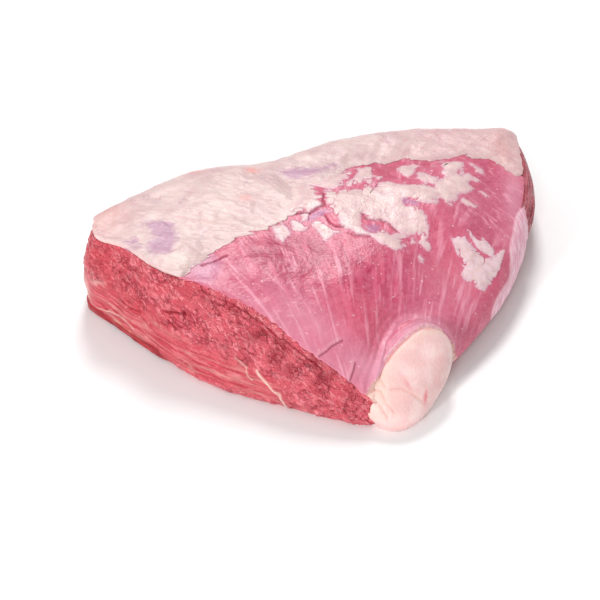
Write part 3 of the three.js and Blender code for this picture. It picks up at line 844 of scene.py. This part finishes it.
def station_towards(x, y):
    """The station that lies that way from the crown."""
    turns = np.linspace(0, 1, 2401)
    rims = rim_at(turns)
    angles = np.unwrap(np.arctan2(rims[:, 1] - CROWN[1], rims[:, 0] - CROWN[0]))
    wanted = (np.arctan2(y, x) - angles[0]) % (2 * math.pi)
    return np.interp(wanted, angles - angles[0], turns)


def down_after(turn, run):
    """The share down that is reached after that run from the crown, in mm."""
    over_top, over_edge, wall = run_lengths(turn)
    s = TOP * np.clip(run / over_top, 0, 1)
    s = s + ROUND * np.clip((run - over_top) / over_edge, 0, 1)
    return s + WALL * np.clip((run - over_top - over_edge) / wall, 0, 1)


def fan_of(x, y):
    """How far round the streaks' pole a place lies, and how far from it."""
    x, y = x - FAN_POLE[0], y - FAN_POLE[1]
    return np.arctan2(x, y) * FAN_BREADTH, np.hypot(x, y)


def frayed(tree, places, scale, detail, roughness, reach_mm):
    """A fine random offset, which frays the edge of a patch."""
    ragged = node(
        tree, "TexNoise", {"Vector": places, "Scale": scale, "Detail": detail, "Roughness": roughness}
    )
    return times(tree, plus(tree, ragged.outputs["Fac"], -0.5), reach_mm)


# The skin's own colours, with painted glints, for the skin and for where it climbs the knob
SKIN_MASKS = ["Sweep", "Rich", "Mauve", "Warm", "Lilac"]
skin_colours, given, asked = new_group(
    "skin_colours",
    {"Plan": "Vector", "Fan": "Vector"} | {mask: "Float" for mask in SKIN_MASKS},
    {"Color": "Color", "Height": "Float"},
)
tree, here, fan = skin_colours, given.outputs["Plan"], given.outputs["Fan"]
sweep, rich, mauve, warm, lilac = (given.outputs[mask] for mask in SKIN_MASKS)
fan_long = node(tree, "Mapping", {"Vector": fan, "Scale": (1, 0.1, 1)}).outputs[0]
fan_short = node(tree, "Mapping", {"Vector": fan, "Scale": (1, 0.35, 1)}).outputs[0]
swept = drawn_out(tree, here, -38, 8.0)
fanned = mottled(tree, fan_long, 3.0, 2.0, 0.5, 0.68)
streaks = blend(tree, sweep, fanned, mottled(tree, swept, 3.4, 2.0, 0.48, 0.66))
streaks = times(tree, streaks, mottled(tree, fan_short, 9.0, 2.0, 0.34, 0.6))
fine_fanned = mottled(tree, fan_long, 1.1, 2.0, 0.3, 0.7)
threads = blend(tree, sweep, fine_fanned, mottled(tree, swept, 1.1, 2.0, 0.3, 0.7))
blotches = mottled(tree, fan_short, 5.5, 4.0, 0.42, 0.6)
bars = mottled(tree, fan_long, 2.4, 3.0, 0.44, 0.58)
blotches = node(tree, "Math", {0: blotches, 1: bars}, operation="MAXIMUM").outputs[0]
blotches = times(tree, blotches, plus(tree, rich, 0.15))
broad = mottled(tree, here, 24.0, 2.0, 0.35, 0.65)
grain = mottled(tree, here, 1.7, 3.0, 0.3, 0.7)
curds = mottled(tree, here, 4.5, 4.0, 0.42, 0.66)
# Painted glints: tiny pale specks of painted highlight for the wet skin's sparkle
painted_glints = mottled(tree, here, 1.5, 0.0, 0.8, 0.83)
colour = over(tree, broad, flesh(200, 76, 108), flesh(218, 98, 126))
colour = laid_over(tree, colour, [
    (rich, 0.55, (196, 54, 98)),
    (blotches, 1, (164, 18, 72)),
    (mauve, 1, (182, 88, 116)),
    (warm, 1, (228, 90, 108)),
    (curds, 0.2, (232, 142, 162)),
    (streaks, 0.7, (246, 166, 186)),
    (threads, 0.24, (180, 56, 92)),
    (grain, 0.2, (236, 146, 166)),
    (lilac, 1, (228, 170, 190)),
    (painted_glints, 0.6, (254, 214, 220)),
])
tree.links.new(colour, asked.inputs["Color"])
tree.links.new(summed(tree, [(grain, 0.25), (streaks, 0.3), (curds, 0.3)]), asked.inputs["Height"])

skin_pink, tree, shader = flesh_material("skin_pink", roughness=0.36, glow=0.1, glow_depth_mm=1.2)
here = field_of(tree, "plan", "Vector")
masks = {mask: field_of(tree, mask.lower()) for mask in SKIN_MASKS}
own = placed(tree, skin_colours, Plan=here, Fan=field_of(tree, "fan", "Vector"), **masks)
film = field_of(tree, "film")
film_folds = mottled(tree, field_of(tree, "side", "Vector"), 1.6, 2.0, 0.4, 0.62)
film_colour = over(tree, film_folds, flesh(236, 166, 188), flesh(250, 206, 220))
fray = frayed(tree, here, 0.75, 4.0, 0.6, reach_mm=3.4)
dusk = between(tree, plus(tree, field_of(tree, "dusky"), fray), -1.0, 1.4)
fat_here = plus(tree, field_of(tree, "fat"), fray)
halo = between(tree, fat_here, -2.2, 0.2)
on_fat = between(tree, fat_here, -0.2, 0.3)
deep_fat = between(tree, fat_here, 0.2, 2.4)
cool = times(tree, field_of(tree, "cool_fat"), mottled(tree, here, 3.0, 3.0, 0.3, 0.7))
fat_colour = over(tree, mottled(tree, here, 5.0, 4.0, 0.35, 0.65), flesh(221, 187, 188), flesh(232, 204, 200))
fat_colour = over(tree, deep_fat, flesh(220, 174, 186), fat_colour)
fat_colour = laid_over(tree, fat_colour, [(cool, 1, (240, 210, 220))])
knob_side = between(tree, plus(tree, field_of(tree, "knob_side"), fray), -0.6, 0.8)
loose_folds = mottled(tree, drawn_out(tree, here, 60, 5.0), 1.8, 2.0, 0.4, 0.66)
loose_colour = over(tree, loose_folds, flesh(244, 208, 196), flesh(226, 164, 156))
colour = over(tree, film, own.outputs["Color"], film_colour)
colour = laid_over(tree, colour, [(halo, 0.3, (222, 140, 162))])
colour = over(tree, times(tree, on_fat, 0.96), colour, fat_colour)
colour = laid_over(tree, colour, [
    (dusk, 0.7, (176, 118, 158)),
    # Painted shade: dark lines in the cracks and creases, and along the low right edge where the skin turns
    # under
    (field_of(tree, "shaded_crack"), 1, (136, 36, 58)),
    # Painted highlights: on the upper left of the creases, and along the border of the right side's film
    (field_of(tree, "painted_highlight"), 1, (248, 216, 218)),
])
colour = over(tree, knob_side, colour, loose_colour)
tree.links.new(colour, shader.inputs["Base Color"])
relief = summed(tree, [
    (on_fat, 0.7), (own.outputs["Height"], 1), (times(tree, knob_side, loose_folds), -0.9),
    (times(tree, film_folds, film), 0.8),
])
bumped(tree, shader, relief, strength=0.5, distance_mm=0.6)

# The blank is a square sheet, drawn out to the skin's round outline and pressed to the muscle.
bm = bmesh.new()
bmesh.ops.create_grid(bm, x_segments=SKIN_DIVISIONS, y_segments=SKIN_DIVISIONS, size=1)
border = [e for e in bm.edges if e.is_boundary]
hem = bmesh.ops.extrude_edge_only(bm, edges=border)["geom"]
bm.verts.index_update()
hem_index = np.array([g.index for g in hem if isinstance(g, bmesh.types.BMVert)])
rim_edges = [g for g in hem if isinstance(g, bmesh.types.BMEdge) and g.is_boundary]
bmesh.ops.contextual_create(bm, geom=rim_edges)
square = corners_of(bm)
a, b = square[:, 0], square[:, 1]
dx, dy = a * np.sqrt(1 - b**2 / 2), b * np.sqrt(1 - a**2 / 2)
turn = station_towards(dx, dy)
edge_station = np.array([e[0] for e in SKIN_EDGE]) % COUNT_ROUND
order = np.argsort(edge_station)
edge_share = np.array([e[1] for e in SKIN_EDGE])
station = turn * COUNT_ROUND
edge_down = np.interp(station, edge_station[order], edge_share[order], period=COUNT_ROUND)
hem_line = lean_place(turn, edge_down)
edge_down = edge_down + 0.016 * lumps(hem_line, 4, 46) + 0.012 * lumps(hem_line, 1.8, 47)
edge_run = run_to(turn, edge_down)
run = np.hypot(dx, dy) * edge_run
down = down_after(turn, run)
places = lean_place(turn, down)
outward = lean_outward(turn, np.maximum(down, 0.01))
outward[run < 2] = (0, 0, 1)
x, y = places[:, 0], places[:, 1]
on_top = 1 - ease(down, TOP, TOP + 0.04)
stray = 0.8 * lumps(places, 5, 21) + 0.5 * lumps(places, 2.2, 22)

# The loose fat: how far inside a patch or a crumb each place lies, in mm
fat = inside_any(x, y, FAT_PATCHES) + stray
scatter = 3.0 * lumps(places, 6.5, 26) + 1.5 * lumps(places, 3, 27) - 1.1
fat = np.maximum(fat, np.minimum(scatter, inside_any(x, y, CRUMBS)))
fat = np.where(on_top > 0.5, fat, FAR_OFF)
broken = np.max([near(x, y, middle, reach) for middle, reach in BROKEN_UP], axis=0)
parting = np.abs(lumps(places, 8, 50) + 0.35 * lumps(places, 3, 51)) * (1 + 2 * ease(fat, 2.5, 7))
fat = fat - 4 * line_like(parting, 0.075) * ease(broken, 0.15, 0.6) * ease(fat, -1, 1)
dusky = inside_any(x, y, DUSKY) + stray
dusky = np.maximum(dusky, np.minimum(inside_by(x, y, BLUISH_PLACE) + stray, 0))
shaded_crack = off_lines(x + stray * 0.5, y - stray * 0.5, CRACKS)
crease = off_lines(x, y, CREASES)
# The line of the painted highlight, on each crease's upper left side
lit_side_of_crease = off_lines(x + 1.3, y - 0.9, CREASES)

# The folds towards the knob, and the film of the right side
knob_side = inside_by(x, y, KNOB_SIDE) + 0.5 * stray
gap = np.maximum(off_knob(places), 0)
climb = 2.6 * np.exp(-gap / 2.4) + 0.35 * np.exp(-gap / 6) * np.sin(gap * 1.7 + 2 * lumps(places, 12, 30))
collar = np.exp(-gap / 3.5)
side_x, side_y = np.array(SIDE_LINE).T
beyond = x - np.interp(y, side_y, side_x) + 0.8 * lumps(places, 8, 29)
film = ease(beyond, 0, 1.5) * band(y, -60, -35, 26, 40)
run_left = edge_run - run
fan_round, fan_out = fan_of(x, y)
fan_round = fan_round + 1.5 * lumps(places, 22, 28)

# The relief, in mm, and the hem that turns in to the muscle all round
lift = SKIN_THICK + ease(fat, -0.2, 1.0) * 0.3 + ease(fat, 0, 6) * 0.5 - 0.6 * line_like(shaded_crack, 0.6)
lift += 0.25 * lumps(places, 6, 23) * ease(run_left, 0, 3)
lift += film * (0.3 + 0.2 * np.sin(run / 1.3 + 3 * lumps(places, 9, 25)) * lumps(places, 13, 24))
lift += climb * (1 - 0.85 * ease(knob_side, 0, 1.5))
lift -= 2.4 * ease(knob_side, 0, 2) * ease(-off_knob(places), 0.6, 2.6)
lift[hem_index] = -HEM_DEPTH
places = places + outward * lift[:, None]
places[:, 2] = np.maximum(places[:, 2], SKIN_LOWEST)

# A painted sheen: a pale lilac band along the skin's front edge, over the cut
front_edge_sheen = (1 - ease(run_left, 1, 8)) * band(station, 2.6, 3.2, 5.5, 7)
# Painted shade along the low right edge, where the skin turns under, and in the cracks and creases
low_edge = line_like(run_left - 0.4, 0.8) * band(station, 8.6, 9.4, 12, 12.6)
painted_shade_lines = 0.8 * line_like(shaded_crack, 0.5) * on_top + 0.85 * low_edge + 0.8 * line_like(crease, 0.5)
fields = {
    "plan": vectors(x, y, places[:, 2]),
    "fan": vectors(fan_round, fan_out),
    "side": vectors(run, y * 0.2),
    "fat": fat,
    "dusky": dusky,
    "film": film * 0.9,
    "shaded_crack": np.clip(painted_shade_lines, 0, 1),
    # Painted highlights beside the creases and on the film's border
    "painted_highlight": np.clip(0.14 * line_like(lit_side_of_crease, 0.9) + 0.4 * film * line_like(beyond - 1.2, 0.6), 0, 1),
    "cool_fat": 0.8 * ease(x, 72, 84) * (1 - ease(y, 2, 12)),
    "knob_side": np.where(down < WALL_TOP, knob_side, FAR_OFF),
    "sweep": ease(x, 80, 100) * ease(y, -5, 15),
    "rich": spots(x, y, RICH_SPOTS),
    "mauve": np.clip(spots(x, y, MAUVE_SPOTS), 0, 1),
    "warm": spots(x, y, WARM_SPOTS),
    "lilac": np.clip(0.2 * front_edge_sheen + spots(x, y, LILAC_SPOTS) + 0.5 * collar, 0, 1),
}
finished_piece("skin", bm, places, fields, skin_pink)

# The fat cap: a firm layer of outside fat over the left end and down the back, trimmed by hand.
# It is cream white with a pink cast, thin and bluish in places, and ends in a crisp trimmed edge.
# How thick it is on top, at its lip and at its edge, how far its root goes in, and its gap, in mm
CAP_THICK, CAP_LIP, CAP_EDGE, CAP_ROOT, CAP_GAP = 4.2, 3, 0.45, 1.5, 0.35
# The share of the blank's girth that is the cap's upper side, and how blunt its two ends are
CAP_UPPER, CAP_BLUNTNESS = 0.8, 60
CAP_COLUMNS, CAP_ROWS = 150, 460
# Where it starts and ends, by station counted backwards: on the top as a share of the way out,
# and down the wall as a share, or below 0 the share of the edge's rounding that it leaves
CAP_STATIONS = [
    (2.45, 0.97, -0.8), (2.3, 0.9, -0.8), (2.1, 0.82, -0.8), (1.9, 0.75, -0.8), (1.6, 0.65, -0.8),
    (1.27, 0.54, -0.8), (0, 0.41, -0.7), (-1, 0.35, -0.5), (-1.8, 0.32, 0.12), (-2.7, 0.34, 0.5),
    (-3.8, 0.33, 0.66), (-4.5, 0.42, 0.58), (-4.95, 0.7, 0.66), (-5.5, 0.68, 0.72), (-6.3, 0.73, 0.6),
    (-7.1, 0.76, 0.68), (-7.8, 0.73, 0.62), (-8.5, 0.72, 0.6), (-8.95, 0.76, 0.25), (-9.25, 0.8, -0.45),
    (-9.6, 0.88, -0.75), (-10, 0.95, -0.85),
]
# Where it is thin and bluish, and soft ovals of colour, all seen from above
CAP_THIN = [
    [(-99, -8), (-84, -7), (-80, -20), (-83, -34), (-92, -37), (-97, -30), (-94, -20)],
    [(-110, -24), (-104, -22), (-100, -30), (-106, -30)],
    [(-22, 44), (-9.5, 47.5), (3, 49), (13, 53), (4, 44), (-9, 37), (-18, 39)],
]
SALMON_SPOTS = [
    (0.8, (-39, 44), (4, 3), 0), (0.5, (-73, 44), (6, 4), 0), (0.6, (-42, 15), (4, 3), 0),
    (0.3, (-124, 0), (14, 24), 0), (0.25, (118, 80), (6, 14), 0),
]
CREAM_SPOTS = [(0.6, (-84, -38), (20, 7), -30), (0.3, (-60, 0), (16, 26), 0)]

cap_fat, tree, shader = flesh_material("cap_fat", roughness=0.42, glow=0.15, glow_depth_mm=1.5)
here = field_of(tree, "plan", "Vector")
cloud = mottled(tree, here, 18.0, 4.0, 0.35, 0.65)
waves = mottled(tree, drawn_out(tree, here, -14, 4.5), 2.2, 3.0, 0.5, 0.7)
curds = mottled(tree, here, 5.0, 4.0, 0.4, 0.68)
grain = mottled(tree, here, 1.3, 2.0, 0.3, 0.7)
veins = winding(tree, here, 0.07, 3.0, level=0.5, half_width=0.018)
veins = times(tree, veins, mottled(tree, here, 20.0, 1.0, 0.45, 0.6))
rosy = times(tree, field_of(tree, "rosy"), plus(tree, times(tree, waves, 0.4), 0.6))
fray = frayed(tree, drawn_out(tree, here, 0, 2.0), 0.4, 5.0, 0.65, reach_mm=14.0)
thin = between(tree, plus(tree, field_of(tree, "thin"), fray), -3.0, 3.0)
colour = over(tree, cloud, flesh(210, 178, 178), flesh(224, 197, 193))
colour = laid_over(tree, colour, [
    (curds, 0.4, (229, 206, 202)),
    (waves, 0.4, (212, 168, 174)),
    (veins, 0.5, (190, 146, 166)),
    (rosy, 1, (210, 162, 167)),
    (field_of(tree, "salmon"), 1, (232, 150, 142)),
    (field_of(tree, "cream"), 1, (240, 218, 209)),
    (thin, 0.75, (186, 136, 166)),
])
tree.links.new(colour, shader.inputs["Base Color"])
relief = summed(tree, [(grain, 0.25), (waves, -0.5), (curds, 0.3)])
bumped(tree, shader, relief, strength=0.4, distance_mm=0.6)

# The blank is a ball with its poles at the cap's two ends and its girth laid out over the roast.
bm = bmesh.new()
bmesh.ops.create_uvsphere(bm, u_segments=CAP_COLUMNS, v_segments=CAP_ROWS, radius=1)
girth, share_along = shares_of(corners_of(bm))
station, top_share, wall_share = through(CAP_STATIONS, closed=False)(share_along).T
turn = station / COUNT_ROUND
upper = girth < CAP_UPPER
across = np.where(upper, girth / CAP_UPPER, 1 - (girth - CAP_UPPER) / (1 - CAP_UPPER))
blunt = np.sqrt(np.maximum(1 - np.abs(2 * share_along - 1) ** CAP_BLUNTNESS, 0))
start = top_share * TOP
end = WALL_TOP + wall_share * np.where(wall_share > 0, WALL, ROUND)
first = lean_place(turn % 1, start)
start = start + 0.012 * lumps(first, 11, 31) + 0.009 * lumps(first, 4, 32) + 0.005 * lumps(first, 1.8, 33)
last = lean_place(turn % 1, end)
end = end + 0.008 * lumps(last, 5, 37) + 0.006 * lumps(last, 2.2, 38)
middle_s = (start + end) / 2
down = middle_s + (start + (end - start) * across - middle_s) * blunt
places = lean_place(turn % 1, down)
outward = lean_outward(turn % 1, down)
full = CAP_THICK + (CAP_LIP - CAP_THICK) * ease(-wall_share, -0.2, 0.5)
full = full * (0.45 + 0.55 * ease(station, -10, -8.6)) * (0.5 + 0.5 * ease(-station, -2.9, -1.8))
depth = CAP_EDGE + (full - CAP_EDGE) * ease(across, 0, 0.45)
rounded = np.sqrt(np.clip(across / 0.01, 0, 1)) * np.sqrt(np.clip((1 - across) / 0.04, 0, 1)) * blunt
uneven = 0.6 * lumps(places, 13, 34) + 0.35 * lumps(places, 5, 35) + 0.15 * lumps(places, 2.3, 36)
lift = CAP_GAP + (depth + ease(across, 0, 0.1) * uneven) * rounded
lift = np.where(upper, lift, -CAP_ROOT)
places = places + outward * lift[:, None]
x, y = places[:, 0], places[:, 1]
thin = np.maximum(inside_any(x, y, CAP_THIN), 10 * near(x, y, (-68, -46), (5, 7), 20) - 7)
fields = {
    "plan": vectors(x, y, places[:, 2]),
    "thin": thin,
    "salmon": np.clip(spots(x, y, SALMON_SPOTS), 0, 1),
    "rosy": 0.75 * ease(x, 20, 90),
    "cream": spots(x, y, CREAM_SPOTS),
}
finished_piece("fat_cap_trimmed", bm, places, fields, cap_fat, ["fat_cap"])

# The fat knob: a firm pad of fat that closes the thin front tip, smooth and peach coloured.
# The skin climbs on to its upper side in folds, and creases of looser fat run down its left.
# Its creases, seen from above
KNOB_CREASES = [
    [(38.5, -88), (43, -82.3), (46.5, -78.5), (52.3, -73.8)],
    [(40.4, -102.4), (47, -101.8), (52.6, -104), (58.3, -105.5)], [(32, -106), (36, -110), (39, -113.5)],
    [(31, -101), (35, -103), (38, -108), (43, -112)], [(36, -92), (35, -97), (37, -101)],
]
# The small bloodshot places: strength, middle, half sizes and turn in degrees
BLOOD_SPOTS = [
    (0.85, (60.5, -103), (1, 3), -15), (0.4, (50.5, -100), (3.5, 1.2), -55), (0.4, (62, -68), (4, 1), 10),
]
# The height above which the knob has folds and creases, with its fading
FOLDS_FROM = (6, 10)
KNOB_COLUMNS, KNOB_ROWS = 240, 170

knob_fat, tree, shader = flesh_material("knob_fat", roughness=0.38, glow=0.2, glow_depth_mm=1.8)
here = field_of(tree, "plan", "Vector")
cloud = mottled(tree, here, 12.0, 3.0, 0.35, 0.65)
grain = mottled(tree, here, 1.5, 2.0, 0.3, 0.7)
own = placed(
    tree, skin_colours, Plan=here, Fan=field_of(tree, "fan", "Vector"),
    Sweep=0.0, Rich=0.0, Mauve=0.1, Warm=0.2, Lilac=field_of(tree, "lilac"),
)
fray = frayed(tree, here, 0.5, 3.0, 0.5, reach_mm=5.0)
climbed = between(tree, plus(tree, field_of(tree, "beyond"), fray), -1.2, 1.6)
colour = over(tree, cloud, flesh(236, 192, 190), flesh(244, 211, 207))
colour = laid_over(tree, colour, [
    (field_of(tree, "loose"), 1, (240, 203, 192)),
    # Painted shade along the creases and the groove
    (field_of(tree, "fold_shade"), 1, (222, 146, 132)),
    (field_of(tree, "spot"), 1, (228, 118, 128)),
])
colour = over(tree, climbed, colour, own.outputs["Color"])
tree.links.new(colour, shader.inputs["Base Color"])
bumped(tree, shader, plus(tree, grain, climbed), strength=0.3, distance_mm=0.5)

bm = bmesh.new()
bmesh.ops.create_uvsphere(bm, u_segments=KNOB_COLUMNS, v_segments=KNOB_ROWS, radius=1)
sides = KNOB_HALF * fuller(corners_of(bm), KNOB_FULLNESS)
places = sides @ knob_lie.T + KNOB_MIDDLE
away = (sides / np.linalg.norm(sides, axis=1)[:, None]) @ knob_lie.T
x, y = places[:, 0], places[:, 1]
upper_side = ease(places[:, 2], *FOLDS_FROM)
on_fat_side = inside_by(x, y, KNOB_SIDE) > 0
beyond = off_line(x, y, KNOB_GROOVE) * np.where(on_fat_side, -1, 1)
crease = off_lines(x + 0.5 * lumps(places, 4, 42), y, KNOB_CREASES)
crease = np.where(places[:, 2] > FOLDS_FROM[0], crease, 9)
groove = beyond + 0.5
folded = ease(beyond, -1.5, 0.5) * (0.5 * np.sin(beyond * 1.5 + 1.5 * lumps(places, 8, 43)) + 0.4)
lift = 0.4 * lumps(places, 14, 41) - 0.35 * line_like(crease, 0.8) - 0.8 * line_like(groove, 0.9) + folded
lift += 0.45 * lumps(places * (1, 0.5, 1), 4.5, 45) * near(x, y, (35, -103), (9, 13))
places = places + away * (lift * upper_side)[:, None]
places[:, 2] = np.maximum(places[:, 2], 0)
fields = {
    "plan": places.copy(),
    "fan": vectors(*fan_of(x, y)),
    # Painted shade along the creases and the groove, which are also pressed into the surface
    "fold_shade": np.clip(0.35 * line_like(crease, 0.6) + 0.5 * line_like(groove, 0.6), 0, 1) * upper_side,
    "spot": np.clip(spots(x, y, BLOOD_SPOTS), 0, 1),
    "beyond": np.where(upper_side > 0.5, beyond, FAR_OFF),
    "lilac": 0.75 * line_like(beyond, 7),
    "loose": np.clip(near(x, y, (34, -104), (8, 12)) + 0.6 * line_like(beyond + 3, 2.5), 0, 1) * upper_side,
}
finished_piece("fat_knob_pad", bm, places, fields, knob_fat, ["fat_knob"])
